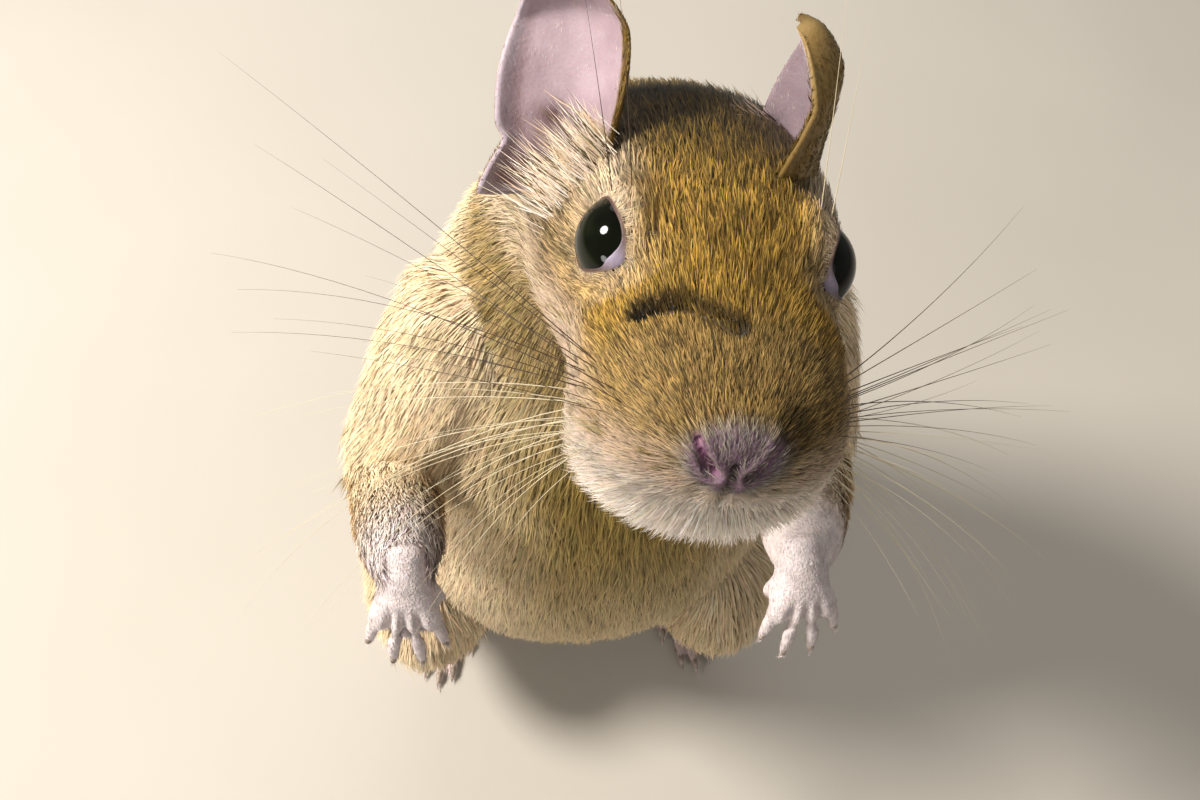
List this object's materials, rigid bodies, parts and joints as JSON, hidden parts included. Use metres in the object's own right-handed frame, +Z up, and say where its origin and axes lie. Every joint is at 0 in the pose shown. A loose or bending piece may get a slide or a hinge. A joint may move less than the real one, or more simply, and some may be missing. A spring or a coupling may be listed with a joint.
{
  "type": "degu",
  "caption": "Life-size still model of a degu sitting up on its hind feet, forepaws raised, head lifted, tail laid on the floor behind.",
  "frame": {"origin": "on the floor under the middle of the whole animal's box", "axes": "+X the animal's left, -Y its front, +Y its back and tail, +Z up"},
  "size_m": [0.078, 0.1812, 0.1668],
  "materials": {
    "coat_brown": "short dense fur",
    "coat_pale": "short pale fur",
    "skin_ear": "thin bare skin",
    "skin_paw": "bare skin with fine pale hairs",
    "coat_tail": "short dark hair over scales",
    "bristle_black": "stiff dark bristles",
    "eye_black": "wet gloss"
  },
  "bodies": {
    "root": {"head": "coat_brown", "neck": "coat_brown", "torso": "coat_brown", "eye_left": "eye_black", "eye_right": "eye_black", "ear_left": "skin_ear", "ear_right": "skin_ear", "upper_arm_left": "coat_brown", "upper_arm_right": "coat_brown", "forearm_left": "coat_pale", "forearm_right": "coat_pale", "hand_left": "skin_paw", "hand_right": "skin_paw", "thigh_left": "coat_brown", "thigh_right": "coat_brown", "shank_left": "coat_brown", "shank_right": "coat_brown", "foot_left": "skin_paw", "foot_right": "skin_paw", "tail_root": "coat_tail", "tail_middle": "coat_tail", "tail_brush": "bristle_black"}
  },
  "joints": []
}
